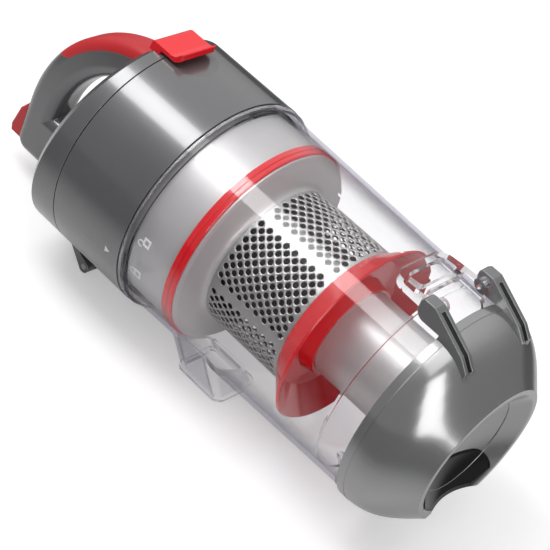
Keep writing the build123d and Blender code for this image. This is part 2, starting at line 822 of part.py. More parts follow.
with BuildPart() as handle_screws:
    with BuildSketch(slant_plane.offset(-cover_wall)):
        with Locations((0, handle_end_drop * 0.7), (0, -handle_end_drop * 0.75)):
            Circle(screw_radius)
    extrude(amount=4 * cover_wall)
    with BuildSketch(slant_plane.offset(-cover_wall)):
        with Locations((0, handle_end_drop * 0.7), (0, -handle_end_drop * 0.75)):
            Circle(screw_head)
    extrude(amount=-screw_radius)
handle_screws.part.label = "handle_screws"

# Red end button: a wedge that stands out of the handle's end, with its zigzag return spring
shank_end = handle_end + handle_end_lean + button_shank
with BuildPart() as end_button:
    with BuildSketch(side):
        outline(
            (shank_end, -button_top_drop),
            (handle_end + handle_end_lean, -button_top_drop),
            (handle_end - button_proud / 2, -button_top_drop - button_proud),
            (button_face, -button_low_drop + button_proud / 2),
            (button_face + seam_gap, -button_low_drop),
            (shank_end, -button_low_drop),
        )
    extrude(amount=button_width / 2, both=True)
    proud_edges = end_button.edges().filter_by(lambda edge: edge.center().X < seam_x + handle_end - running_gap)
    fillet(proud_edges, button_proud / 5)
end_button.part.label = "end_button"

fold_height = (button_low_drop - button_top_drop) * 0.6
fold_middle = -(button_top_drop + button_low_drop) / 2
fold_step = (button_spring_length - spring_leaf) / 4
with BuildPart() as button_spring:
    with BuildSketch(side):
        with BuildLine() as spring_line:
            Polyline(
                *[
                    (
                        shank_end + spring_leaf / 2 + fold * fold_step,
                        fold_middle + fold_height / 2 * (1 if fold % 2 else -1),
                    )
                    for fold in range(5)
                ]
            )
            offset(amount=spring_leaf / 2, side=Side.BOTH)
        make_face()
    extrude(amount=button_width / 4, both=True)
button_spring.part.label = "button_spring"

# Red cover latch: a flat panel with an out-turned lip, a leg over the bevel and a barrel on its pin
latch_under = collar_radius + 2 * running_gap
latch_front = cover_place + latch_reach
latch_back = latch_pivot[0] - latch_barrel - latch_thickness
latch_plan = 2 * (latch_front + latch_lip - latch_back)
with BuildPart() as latch:
    with BuildSketch(side):
        outline(
            (latch_back, latch_under - 1.5 * latch_thickness),
            (latch_back + latch_thickness / 3, latch_under + latch_thickness * 0.7),
            (latch_back + latch_thickness, latch_under + latch_thickness),
            (latch_front - latch_lip * 0.3, latch_under + latch_thickness),
            (latch_front + latch_lip * 0.2, latch_under + latch_thickness + latch_lip * 0.12),
            (latch_front + latch_lip * 0.5, latch_under + latch_thickness + latch_lip * 0.36),
            (latch_front + latch_lip * 0.7, latch_under + latch_thickness + latch_lip * 0.65),
            (latch_front + latch_lip * 0.86, latch_under + latch_thickness + latch_lip * 0.6),
            (latch_front + latch_lip, latch_under + latch_thickness + latch_lip * 0.1),
            (latch_front + latch_lip * 0.8, latch_under + latch_thickness - latch_lip * 0.2),
            (latch_front + latch_lip * 0.25, latch_under),
            (latch_pivot[0] + latch_barrel, latch_under),
            (latch_pivot[0] + latch_barrel, latch_pivot[1]),
            (latch_pivot[0] - latch_barrel, latch_pivot[1]),
            (latch_pivot[0] - latch_barrel, latch_under - 1.5 * latch_thickness),
        )
        with Locations(latch_pivot):
            Circle(latch_barrel)
        with Locations(latch_pivot):
            Circle(latch_pin_radius, mode=Mode.SUBTRACT)
    extrude(amount=latch_width / 2, both=True)
    with BuildSketch(Plane.XY):
        with Locations((seam_x + latch_front + latch_lip - latch_plan / 2, 0)):
            RectangleRounded(latch_plan, latch_width, latch_corner)
    extrude(amount=2 * axis_height, mode=Mode.INTERSECT)
latch.part.label = "latch"

# Domed lid: band, lofted dome with a sagging end, dish and finger facet, catch tongue
dome_shape = (
    (0.0, dome_radius - dome_narrowing * 0.013, 0.0),
    (0.35, dome_radius - dome_narrowing * 0.15, 0.25),
    (0.70, dome_radius - dome_narrowing * 0.54, 0.65),
    (1.0, dome_end_radius, 1.0),
)
band_end = dome_place + dome_band
dish_ball = (dish_radius**2 + dish_depth**2) / (2 * dish_depth)
dish_center = (seam_x + dome_end - dish_depth + dish_ball, 0, axis_height - dome_sag)
facet_reach = facet_radius * cos(radians(45))
facet_plane = Plane(
    origin=(seam_x + dome_end + facet_reach, 0, axis_height - facet_drop - facet_reach),
    x_dir=(0, 1, 0),
    z_dir=(1, 0, 1),
)
with BuildPart() as dome_envelope:
    for share, radius, sag in dome_shape:
        with BuildSketch(across(band_end + share * (dome_end - band_end), -sag * dome_sag)):
            Circle(radius)
    loft()
    with BuildSketch(across(dome_place)):
        Circle(dome_radius)
    extrude(amount=dome_band)

with BuildPart() as dome_hollow:
    for share, radius, sag in dome_shape:
        with BuildSketch(across(band_end + share * (dome_end - band_end), -sag * dome_sag)):
            Circle(radius - dome_wall)
    loft()
    with BuildSketch(across(dome_place)):
        Circle(dome_radius - dome_wall)
    extrude(amount=dome_band)
    with Locations(dish_center):
        Sphere(dish_ball + dome_wall, mode=Mode.SUBTRACT)
    with BuildSketch(facet_plane):
        Circle(facet_radius + dome_wall)
    extrude(amount=2 * dome_radius, both=True, mode=Mode.SUBTRACT)

tongue_top = -bin_foot_radius - tongue_thickness - running_gap
with BuildPart() as dome_lid:
    add(dome_envelope.part)
    with Locations(dish_center):
        Sphere(dish_ball, mode=Mode.SUBTRACT)
    with BuildSketch(facet_plane):
        Circle(facet_radius)
    extrude(amount=2 * dome_radius, both=True, mode=Mode.SUBTRACT)
    with BuildSketch(side):
        outline(
            (dome_place, -dome_radius + dome_wall),
            (dome_place + dome_band, -dome_radius + dome_wall),
            (dome_place + dome_band, -dome_radius - dome_wall / 2),
            (dome_place, tongue_top - tongue_thickness),
            (dome_place - tongue_reach, tongue_top - tongue_thickness),
            (dome_place - tongue_reach, tongue_top),
            (dome_place, tongue_top),
        )
    extrude(amount=tongue_width / 2, both=True)
    add(dome_hollow.part, mode=Mode.SUBTRACT)
dome_lid.part.label = "dome_lid"

floor_place = dome_place + seal_thickness - 0.5
floor_radius = dome_radius - dome_wall - seat_gap
with BuildPart() as dome_floor:
    with BuildSketch(side):
        outline(
            (floor_place, 0),
            (floor_place, tube_radius - 3 * tube_wall),
            (bin_length + 0.4, tube_radius - 2 * tube_wall),
            (bin_length + 0.4, seat_ring),
            (floor_place, seat_ring + tube_wall),
            (floor_place, floor_radius),
            (floor_place + plate_thickness, floor_radius),
            (floor_place + plate_thickness, 0),
        )
    revolve(axis=bin_axis)
dome_floor.part.label = "dome_floor"

with BuildPart() as lid_seal:
    with BuildSketch(side):
        outline(
            (bin_length + 0.3, floor_radius - seal_width),
            (bin_length + 0.3, floor_radius),
            (floor_place, floor_radius),
            (floor_place, floor_radius - seal_width),
        )
    revolve(axis=bin_axis)
lid_seal.part.label = "lid_seal"

# Prongs: slotted hinge arms that lie on the dome and reach over the canister's edge to the pins
bulge_share, bulge_radius, bulge_sag = dome_shape[1]
tail_share, tail_radius, tail_sag = dome_shape[2]
prong_bulge = band_end + bulge_share * (dome_end - band_end)
prong_end = band_end + (bulge_share + tail_share) / 2 * (dome_end - band_end)
bulge_height = sqrt(bulge_radius**2 - prong_inner**2) - bulge_sag * dome_sag + prong_rise
tail_height = sqrt(((bulge_radius + tail_radius) / 2) ** 2 - prong_inner**2) - tail_sag * dome_sag + prong_rise
prong_low = dome_radius * 0.6
prongs = {}
for prong_name, prong_side in (("near_prong", 1), ("far_prong", -1)):
    with BuildPart() as prong:
        with BuildSketch(side.offset(prong_side * (prong_inner + prong_width / 2))):
            with Locations(dome_pivot):
                Circle(prong_head)
            outline(
                (dome_pivot[0] - prong_head, dome_pivot[1]),
                (dome_pivot[0] - prong_head, dome_pivot[1] + prong_head * 0.7),
                (dome_pivot[0] - prong_head * 0.7, dome_pivot[1] + prong_head),
                (dome_pivot[0] + prong_head / 2, dome_pivot[1] + prong_head),
                (prong_bulge, bulge_height),
                (prong_end, tail_height),
                (prong_end, prong_low),
                (dome_place + seam_gap / 2, prong_low),
                (dome_place + seam_gap / 2, dome_pivot[1] - prong_head),
                (dome_pivot[0], dome_pivot[1] - prong_head),
            )
        extrude(amount=prong_width / 2, both=True)
        add(dome_envelope.part, mode=Mode.SUBTRACT)
        with BuildSketch(side.offset(prong_side * (prong_inner + prong_width / 2))):
            outline(
                (dome_pivot[0] + prong_head, dome_pivot[1] + 2 * prong_head),
                (dome_pivot[0] + prong_head, dome_pivot[1] - prong_head / 3),
                (prong_bulge, bulge_height - prong_rise),
                (prong_end, tail_height - prong_rise),
                (prong_end, dome_pivot[1] + 2 * prong_head),
            )
        extrude(amount=prong_width / 2 - prong_wall, both=True, mode=Mode.SUBTRACT)
        with BuildSketch(side):
            with Locations(dome_pivot):
                Circle(dome_pin_radius)
        extrude(amount=prong_inner + prong_wall, both=True, mode=Mode.SUBTRACT)
    prong.part.label = prong_name
    prongs[prong_name] = prong.part

os.makedirs("parts", exist_ok=True)
export_step(clear_bin.part, "parts/clear_bin.step")
export_step(lid_pins.part, "parts/lid_pins.step")
export_step(collar.part, "parts/collar.step")
export_step(collar_seal.part, "parts/collar_seal.step")
export_step(cover_hinge_pins.part, "parts/cover_hinge_pins.step")
export_step(vortex_finder.part, "parts/vortex_finder.step")
export_step(cyclone_body.part, "parts/cyclone_body.step")
export_step(cyclone_screws.part, "parts/cyclone_screws.step")
export_step(seal_ring.part, "parts/seal_ring.step")
export_step(screen.part, "parts/screen.step")
export_step(skirt.part, "parts/skirt.step")
export_step(dust_tube.part, "parts/dust_tube.step")
export_step(tube_seal.part, "parts/tube_seal.step")
export_step(inner_cone.part, "parts/inner_cone.step")
export_step(filter_frame.part, "parts/filter_frame.step")
export_step(filter_pleats.part, "parts/filter_pleats.step")
export_step(filter_foam.part, "parts/filter_foam.step")
export_step(top_cover.part, "parts/top_cover.step")
export_step(cover_gasket.part, "parts/cover_gasket.step")
export_step(latch_pin.part, "parts/latch_pin.step")
export_step(handle.part, "parts/handle.step")
export_step(grip_strip.part, "parts/grip_strip.step")
export_step(handle_screws.part, "parts/handle_screws.step")
export_step(end_button.part, "parts/end_button.step")
export_step(button_spring.part, "parts/button_spring.step")
export_step(latch.part, "parts/latch.step")
export_step(dome_lid.part, "parts/dome_lid.step")
export_step(dome_floor.part, "parts/dome_floor.step")
export_step(lid_seal.part, "parts/lid_seal.step")
export_step(prongs["near_prong"], "parts/near_prong.step")
export_step(prongs["far_prong"], "parts/far_prong.step")
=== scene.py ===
# %% [markdown]
# # A cyclone dust bin, dressed in Blender
# The solids of the bin come in as a fixed frame: a clear canister, a metallic head with a handle, a shroud
# seen through the wall and a silver lid. This lesson gives every surface its finish, adds the pieces that
# are too fine for the solids, and lights the bin like a shop picture on a white table.

# %% Load the frame
import bpy
import bmesh
from math import cos, pi, radians, sin
from mathutils import Matrix, Vector


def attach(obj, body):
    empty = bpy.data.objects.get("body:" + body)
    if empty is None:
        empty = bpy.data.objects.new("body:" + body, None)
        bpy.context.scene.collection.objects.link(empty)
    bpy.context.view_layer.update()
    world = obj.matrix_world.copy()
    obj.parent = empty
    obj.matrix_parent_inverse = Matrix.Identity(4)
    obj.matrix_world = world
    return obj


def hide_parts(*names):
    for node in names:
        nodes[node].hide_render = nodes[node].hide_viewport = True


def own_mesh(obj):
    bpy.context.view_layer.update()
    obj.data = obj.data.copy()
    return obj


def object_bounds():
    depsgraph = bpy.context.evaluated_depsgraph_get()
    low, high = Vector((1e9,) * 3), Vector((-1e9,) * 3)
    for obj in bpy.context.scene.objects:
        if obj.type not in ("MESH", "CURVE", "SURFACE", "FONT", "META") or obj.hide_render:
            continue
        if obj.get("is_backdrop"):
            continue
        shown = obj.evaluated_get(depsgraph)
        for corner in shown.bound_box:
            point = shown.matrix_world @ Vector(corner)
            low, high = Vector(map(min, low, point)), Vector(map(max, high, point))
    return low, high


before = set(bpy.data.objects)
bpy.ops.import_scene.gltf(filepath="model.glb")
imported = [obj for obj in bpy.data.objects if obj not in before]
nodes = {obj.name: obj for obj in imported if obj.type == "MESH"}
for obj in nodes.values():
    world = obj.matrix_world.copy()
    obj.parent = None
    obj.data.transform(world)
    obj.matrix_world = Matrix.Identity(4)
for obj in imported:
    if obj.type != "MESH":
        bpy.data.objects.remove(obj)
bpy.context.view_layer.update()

# %% [markdown]
# ## Small helpers for node trees
# A finish is a little machine of nodes. It could be clicked together in the shader editor. Here a few
# helpers add one node each and fill its inputs with either a number or another node's output, so a
# material reads from top to bottom like a recipe.

# %% Node helpers
def add(tree, kind, **values):
    node = tree.nodes.new(kind)
    for key, value in values.items():
        setattr(node, key, value)
    return node


def connect(tree, value, socket):
    if hasattr(value, "is_output"):
        tree.links.new(value, socket)
    else:
        socket.default_value = value


def feed(tree, node, **inputs):
    for key, value in inputs.items():
        connect(tree, value, node.inputs[key.replace("_", " ")])
    return node


def group_tree(name, inputs, outputs):
    tree = bpy.data.node_groups.new(name, "ShaderNodeTree")
    for label, default in inputs:
        socket = tree.interface.new_socket(name=label, in_out="INPUT", socket_type="NodeSocketFloat")
        socket.default_value = default
    for label, kind in outputs:
        tree.interface.new_socket(name=label, in_out="OUTPUT", socket_type=kind)
    return tree, add(tree, "NodeGroupInput"), add(tree, "NodeGroupOutput")


print("helpers", [helper.__name__ for helper in (add, connect, feed, group_tree)])

# %% [markdown]
# ## The skin of a moulded piece
# Injection moulded plastic is never quite even: the tool leaves a fine grain, the plastic cools in broad
# soft patches, and hands rub it. One node group makes all three from Object coordinates, so the pattern
# has the same size on every piece, and each material picks how much of it to use.

# %% Group: moulded skin
skin, skin_in, skin_out = group_tree(
    "moulded_skin",
    [("Grain Scale", 900.0), ("Patch Scale", 22.0), ("Rub Scale", 70.0)],
    [("Grain", "NodeSocketFloat"), ("Patch", "NodeSocketFloat"), ("Rub", "NodeSocketFloat")],
)
place = add(skin, "ShaderNodeTexCoord")
for label, detail, rough in (("Grain", 3.0, 0.6), ("Patch", 2.0, 0.5), ("Rub", 5.0, 0.65)):
    noise = feed(skin, add(skin, "ShaderNodeTexNoise"), Vector=place.outputs["Object"], Detail=detail,
                 Roughness=rough, Scale=skin_in.outputs[label + " Scale"])
    skin.links.new(noise.outputs["Fac"], skin_out.inputs[label])
print("group", skin.name, [s.name for s in skin.interface.items_tree])

# %% [markdown]
# ## Rounded edges, rubbed and with painted highlights
# A mould never gives a knife edge, and a metallic coat is rubbed paler on its corners. The edges could be
# bevelled in the mesh, but the solids stay as they are, so a Bevel node rounds only the shading. Where the
# rounded normal leaves the true one there is an edge, and that gives the mask for the paler edge colour,
# partly rubbed coat and partly a painted highlight, the bright line a rounded edge catches from the lamps.

# %% Group: rubbed edge and painted highlight
def join(tree, kind, operation, first, second):
    node = add(tree, kind, operation=operation)
    connect(tree, first, node.inputs[0])
    connect(tree, second, node.inputs[1])
    return node


def rescale(tree, value, start, end, low=0.0, high=1.0, interpolation="LINEAR"):
    node = add(tree, "ShaderNodeMapRange", interpolation_type=interpolation)
    feed(tree, node, Value=value, From_Min=start, From_Max=end, To_Min=low, To_Max=high)
    return node.outputs["Result"]


worn_highlight, worn_highlight_in, worn_highlight_out = group_tree(
    "worn_and_highlight_edge",
    [("Radius", 0.0006), ("Wear", 0.0)],
    [("Edge", "NodeSocketFloat"), ("Normal", "NodeSocketVector")],
)
flat_dot, edge_dot = 0.99, 0.85
soft = feed(worn_highlight, add(worn_highlight, "ShaderNodeBevel", samples=6), Radius=worn_highlight_in.outputs["Radius"])
shape = add(worn_highlight, "ShaderNodeNewGeometry")
turn = join(worn_highlight, "ShaderNodeVectorMath", "DOT_PRODUCT", soft.outputs["Normal"], shape.outputs["Normal"])
worn_highlight_mask = rescale(worn_highlight, turn.outputs["Value"], flat_dot, edge_dot, high=worn_highlight_in.outputs["Wear"])
worn_highlight.links.new(worn_highlight_mask, worn_highlight_out.inputs["Edge"])
worn_highlight.links.new(soft.outputs["Normal"], worn_highlight_out.inputs["Normal"])
print("group", worn_highlight.name, [s.name for s in worn_highlight.interface.items_tree])

# %% [markdown]
# ## One recipe for opaque finishes
# Every opaque piece has two close colours that drift into each other, a roughness that the rubbing changes,
# softened edges and a fine bump, and some coats also have paler edges, partly rubbed and partly painted
# highlight. One function makes them all, because the plastics of one bin differ only in colour, gloss,
# grain and paler edges.

# %% Recipe: opaque finish
finishes = {}
noise_low, noise_high = 0.25, 0.75
# The paler edge colour, partly rubbed coat and partly painted highlight.
worn_highlight_colour = (0.75, 0.75, 0.76, 1)
grain_depth = 0.0004


def blend(tree, share, first, second):
    node = feed(tree, add(tree, "ShaderNodeMix", data_type="RGBA"), Factor=share, A=first, B=second)
    return node.outputs["Result"]


def ranged(tree, value, low, high):
    return rescale(tree, value, noise_low, noise_high, low, high)


def new_finish(name):
    material = bpy.data.materials.new(name)
    material.use_nodes = True
    finishes[name] = material
    return material.node_tree, material.node_tree.nodes["Principled BSDF"]


def opaque(name, dark, light, rough, metallic=0.0, coat=0.0, coat_rough=0.05, grain=0.03, edge=0.0006,
           grain_scale=900.0, wear=0.0):
    tree, shader = new_finish(name)
    surface = feed(tree, add(tree, "ShaderNodeGroup", node_tree=skin), Grain_Scale=grain_scale)
    corner = feed(tree, add(tree, "ShaderNodeGroup", node_tree=worn_highlight), Radius=edge, Wear=wear)
    drift = blend(tree, ranged(tree, surface.outputs["Patch"], 0.0, 1.0), (*dark, 1), (*light, 1))
    bump = feed(tree, add(tree, "ShaderNodeBump"), Height=surface.outputs["Grain"], Strength=grain,
                Distance=grain_depth, Normal=corner.outputs["Normal"])
    # Paler edges: partly rubbed coat, partly painted highlight.
    colour = blend(tree, corner.outputs["Edge"], drift, worn_highlight_colour) if wear else drift
    feed(tree, shader, Base_Color=colour, Roughness=ranged(tree, surface.outputs["Rub"], *rough),
         Normal=bump.outputs["Normal"], Metallic=metallic, Coat_Weight=coat, Coat_Roughness=coat_rough)
    print("finish", name)


print("recipe with", skin.name, "and", worn_highlight.name)

# %% [markdown]
# ## The coats, plastics, rubbers and steels
# The head wears a gunmetal coat and the lid a silver one, both metallic paint under clear lacquer. The
# shroud is satin grey plastic round a steel screen, and ring, skirt, latch and button are glossy red.
# Each roughness range stays on one side of 0.274, because a coat that crosses it denoises to dark specks.

# %% Opaque finishes
opaque("gunmetal", (0.175, 0.175, 0.182), (0.195, 0.195, 0.202), (0.2, 0.26), metallic=0.45, coat=0.9,
       coat_rough=0.09, grain=0.01, grain_scale=220.0, wear=0.3)
opaque("silver", (0.38, 0.38, 0.384), (0.42, 0.42, 0.424), (0.17, 0.22), metallic=0.72, coat=0.6,
       coat_rough=0.06, grain=0.01, grain_scale=220.0)
opaque("light_grey", (0.64, 0.635, 0.626), (0.68, 0.675, 0.666), (0.36, 0.44), metallic=0.4, coat=0.15,
       coat_rough=0.2, grain=0.01, grain_scale=300.0)
opaque("steel", (0.50, 0.50, 0.49), (0.57, 0.57, 0.56), (0.44, 0.52), metallic=0.85, grain=0.01)
opaque("red", (0.87, 0.008, 0.017), (0.92, 0.011, 0.021), (0.14, 0.2), coat=0.5)
opaque("red_grip", (0.56, 0.020, 0.025), (0.62, 0.025, 0.030), (0.36, 0.46), grain=0.05)
opaque("dark_grey", (0.18, 0.182, 0.187), (0.20, 0.202, 0.207), (0.28, 0.34), metallic=0.45, coat=0.6,
       grain=0.01, grain_scale=300.0)
# The prongs' grey is a paler copy of the dark grey for the light on them, and their strong paler edges are
# painted highlights.
opaque("prong_lit_grey", (0.20, 0.202, 0.206), (0.23, 0.232, 0.236), (0.2, 0.26), metallic=0.45, coat=0.7,
       grain=0.01, edge=0.0008, wear=0.8)
# Painted shade: the cone and vortex finder inside the head are made near black for the shade seen through the
# screen's holes.
opaque("inner_shade_dark", (0.03, 0.03, 0.031), (0.04, 0.04, 0.041), (0.45, 0.55), grain=0.05)
# Painted shade: a near black finish for the strips laid in the lid's finger hollow and in the prong slots,
# where shade falls.
opaque("painted_shade_black", (0.005, 0.005, 0.0055), (0.009, 0.009, 0.0095), (0.2, 0.26), coat=0.2, grain=0.01)
opaque("navy_rubber", (0.010, 0.010, 0.028), (0.016, 0.016, 0.038), (0.4, 0.5), grain=0.05)
opaque("rubber", (0.012, 0.012, 0.014), (0.02, 0.02, 0.022), (0.55, 0.7), grain=0.12)
opaque("pin_steel", (0.50, 0.50, 0.49), (0.60, 0.60, 0.59), (0.18, 0.26), metallic=1.0)
opaque("filter_white", (0.74, 0.73, 0.69), (0.82, 0.81, 0.78), (0.8, 0.95), grain=0.4, grain_scale=2400.0)
opaque("foam", (0.05, 0.052, 0.055), (0.08, 0.082, 0.085), (0.85, 0.98), grain=0.8, grain_scale=1500.0)
opaque("print_white", (0.80, 0.80, 0.80), (0.88, 0.88, 0.88), (0.4, 0.5), grain=0.02)

# %% [markdown]
# ## The clear wall
# The canister is moulded in clear plastic, about two and a half millimetres thick. An index below the
# plastic's own keeps the lines along its edges light, and a glossy coat gives back the mirror streak. Where
# the wall is seen edge on it turns to a thin violet tint, because glass would draw a black outline there.
# Shadow rays and diffuse rays pass straight through, so the shroud inside is lit.

# %% Clear plastic
bulk_index, skin_index = 1.2, 1.5
tint_far, tint_near = (0.975, 0.97, 0.985, 1), (0.99, 0.988, 0.994, 1)
tint_edge = (0.84, 0.825, 0.865, 1)
pass_flat, pass_edge = (0.93, 0.925, 0.94, 1), (0.80, 0.79, 0.83, 1)
rim_start = 0.55
thin_start, thin_end, thin_most = 0.5, 0.85, 0.9


def combine(tree, operation, first, second):
    return join(tree, "ShaderNodeMath", operation, first, second).outputs[0]


def layer(tree, share, below, above):
    node = add(tree, "ShaderNodeMixShader")
    for socket, value in zip(node.inputs, (share, below.outputs[0], above.outputs[0])):
        connect(tree, value, socket)
    return node


def clear_plastic(name):
    tree, shader = new_finish(name)
    surface = add(tree, "ShaderNodeGroup", node_tree=skin)
    facing = add(tree, "ShaderNodeLayerWeight").outputs["Facing"]
    body = blend(tree, ranged(tree, surface.outputs["Patch"], 0.0, 1.0), tint_far, tint_near)
    bump = feed(tree, add(tree, "ShaderNodeBump"), Height=surface.outputs["Patch"], Strength=0.03,
                Distance=0.001)
    rim = rescale(tree, facing, rim_start, 1.0, interpolation="SMOOTHSTEP")
    feed(tree, shader, Transmission_Weight=1.0, IOR=bulk_index, Coat_Weight=0.45, Coat_Roughness=0.02,
         Coat_IOR=skin_index, Roughness=ranged(tree, surface.outputs["Rub"], 0.0, 0.03),
         Base_Color=blend(tree, rim, body, tint_edge), Normal=bump.outputs["Normal"])
    light = add(tree, "ShaderNodeLightPath")
    passing = combine(tree, "MAXIMUM", light.outputs["Is Shadow Ray"], light.outputs["Is Diffuse Ray"])
    thin = rescale(tree, facing, thin_start, thin_end, high=thin_most, interpolation="SMOOTHSTEP")
    tone = blend(tree, thin, pass_flat, pass_edge)
    through = feed(tree, add(tree, "ShaderNodeBsdfTransparent"), Color=tone)
    wall = layer(tree, combine(tree, "MAXIMUM", passing, thin), shader, through)
    tree.links.new(wall.outputs[0], tree.nodes["Material Output"].inputs["Surface"])
    print("finish", name)


clear_plastic("clear")

# %% [markdown]
# ## Dressing the solids
# Each solid carries a slot name from the drawing, and the finish of that name goes into the object's own
# slot, so the shared mesh is left alone. The dust tube and the seal share a slot but are another plastic or
# rubber, so they get their own finish afterwards. The cone and vortex finder inside the screen get a near
# black finish, painted shade for the dark behind the holes, and the prongs a paler copy of the dark grey with
# painted edge highlights.

# %% Dress the solids
for name, piece in sorted(nodes.items()):
    for index, old in enumerate(piece.data.materials):
        piece.material_slots[index].link = "OBJECT"
        piece.material_slots[index].material = finishes[old.name.split(".")[0]]
own_finish = {"inner_cone": "inner_shade_dark", "vortex_finder": "inner_shade_dark", "dust_tube": "light_grey",
              "collar_seal": "navy_rubber", "near_prong": "prong_lit_grey", "far_prong": "prong_lit_grey"}
for name, finish in own_finish.items():
    nodes[name].material_slots[0].material = finishes[finish]
print("dressed", len(nodes))

# %% [markdown]
# ## The perforated screen
# The real screen is a thin steel sheet with nearly seven hundred punched holes in six panels. The holes
# could be cut with booleans, which is slow and leaves poor faces. Instead one tile of the pattern is a
# diamond with a round hole, tiles side by side make the flat sheet, every second row moved by half a step,
# and the sheet is rolled round the shroud's axis like the real one.

# %% Screen tile
axis_height = 0.082
head_place = -0.0279


def keep_mesh(build, name, body, finish, smooth=True):
    mesh = bpy.data.meshes.new(name)
    for face in build.faces:
        face.smooth = smooth
    build.to_mesh(mesh)
    build.free()
    mesh.materials.append(finishes[finish])
    piece = bpy.data.objects.new(name, mesh)
    bpy.context.scene.collection.objects.link(piece)
    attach(piece, body)
    return piece


def thicken(piece, thickness, offset=-1.0):
    wall = piece.modifiers.new("wall", "SOLIDIFY")
    wall.thickness = thickness
    wall.offset = offset


def screen_tile(along, around, hole, filled):
    build = bmesh.new()
    corners = bmesh.ops.create_circle(build, segments=4, radius=1.0)["verts"]
    bmesh.ops.scale(build, vec=(along, around, 1.0), verts=corners)
    bmesh.ops.subdivide_edges(build, edges=build.edges[:], cuts=3)
    rim = bmesh.ops.create_circle(build, segments=16, radius=hole)["verts"]
    ring = [edge for edge in build.edges if edge.verts[0] in rim]
    bmesh.ops.bridge_loops(build, edges=build.edges[:])
    if filled:
        bmesh.ops.contextual_create(build, geom=ring)
    tile = bpy.data.meshes.new("tile")
    build.to_mesh(tile)
    build.free()
    return tile


screen_radius = 0.04596
columns, rows, panel = 48, 16, 8
step_round = 2 * pi * screen_radius / columns
step_along = 0.0033
hole_radius = 0.0018
open_tile = screen_tile(step_along, step_round / 2, hole_radius, False)
plain_tile = screen_tile(step_along, step_round / 2, hole_radius, True)
print("tile faces", len(open_tile.polygons), "plain", len(plain_tile.polygons))

# %% [markdown]
# ## Rolling the sheet
# Every eighth column is left plain, which parts the holes into panels, and two plain rows at each end are
# cut off square. Then each point's width becomes an angle, the joint is merged, and a Solidify modifier
# gives the sheet its thickness inwards.

# %% Roll the screen
screen_low, screen_high = 0.048 + head_place, 0.105 + head_place
first_row = 0.0515 + head_place
panel_turn = radians(25.0)
sheet_thickness = 0.0006
merge_gap = 0.00002
build = bmesh.new()
for row in range(-2, rows + 2):
    for column in range(columns):
        open_here = 0 <= row < rows and column % panel < panel - 1
        before = len(build.verts)
        build.from_mesh(open_tile if open_here else plain_tile)
        build.verts.ensure_lookup_table()
        step = (first_row + row * step_along, (column + 0.5 * (row % 2)) * step_round, 0.0)
        bmesh.ops.translate(build, vec=step, verts=build.verts[before:])
for place, side in ((screen_low, -1.0), (screen_high, 1.0)):
    whole = build.verts[:] + build.edges[:] + build.faces[:]
    bmesh.ops.bisect_plane(build, geom=whole, plane_co=(place, 0, 0), plane_no=(side, 0, 0), clear_outer=True)
for vert in build.verts:
    turn = vert.co.y / screen_radius - panel_turn
    vert.co = (vert.co.x, -screen_radius * sin(turn), axis_height + screen_radius * cos(turn))
bmesh.ops.remove_doubles(build, verts=build.verts[:], dist=merge_gap)
bmesh.ops.recalc_face_normals(build, faces=build.faces[:])
screen_sheet = keep_mesh(build, "screen_sheet", "head", "steel")
thicken(screen_sheet, sheet_thickness)
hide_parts("screen")
for tile in (open_tile, plain_tile):
    bpy.data.meshes.remove(tile)
print("screen faces", len(screen_sheet.data.polygons))

# %% [markdown]
# ## Padlock signs and arrow
# The bayonet is marked with a small arrow on the collar and two padlocks on the canister, printed in white.
# A picture texture could hold them, but drawn shapes stay sharp from near. Each sign is drawn flat, given
# the thickness of a print and wrapped round the wall.

# %% Wrap a flat sign
print_height, print_sink = 0.00025, 0.0001


def wrap(build, name, place, radius, angle, body):
    flat = bmesh.ops.extrude_face_region(build, geom=build.faces[:])
    top = [item for item in flat["geom"] if isinstance(item, bmesh.types.BMVert)]
    bmesh.ops.translate(build, vec=(0, 0, print_height), verts=top)
    for vert in build.verts:
        turn = angle + vert.co.y / radius
        reach = radius + vert.co.z - print_sink
        vert.co = (vert.co.x + place + head_place, -reach * sin(turn), axis_height + reach * cos(turn))
    build.normal_update()
    bmesh.ops.recalc_face_normals(build, faces=build.faces[:])
    sign = keep_mesh(build, name, body, "print_white", smooth=False)
    print("sign", name, len(sign.data.polygons))


print("print stands proud by", round(1000 * (print_height - print_sink), 3), "mm")

# %% [markdown]
# ## Drawing a padlock
# The closed padlock marks where the head holds, the open one where it comes off. The shackle is a short edge
# spun through half a turn, with its two ends drawn out as legs, and the body is a square plate inset to a
# frame. For the open lock the shackle is moved aside, so one function draws both.

# %% Padlocks
shackle_inner, shackle_outer, shackle_leg = 0.0013, 0.0020, 0.0016
plate_half, plate_drop, plate_frame = 0.0026, 0.0041, 0.0017
locked_angle, open_angle, open_shift = radians(101.5), radians(82.6), 0.0024
sign_place, bin_radius = 0.0105, 0.0696
on_axis = 1e-6


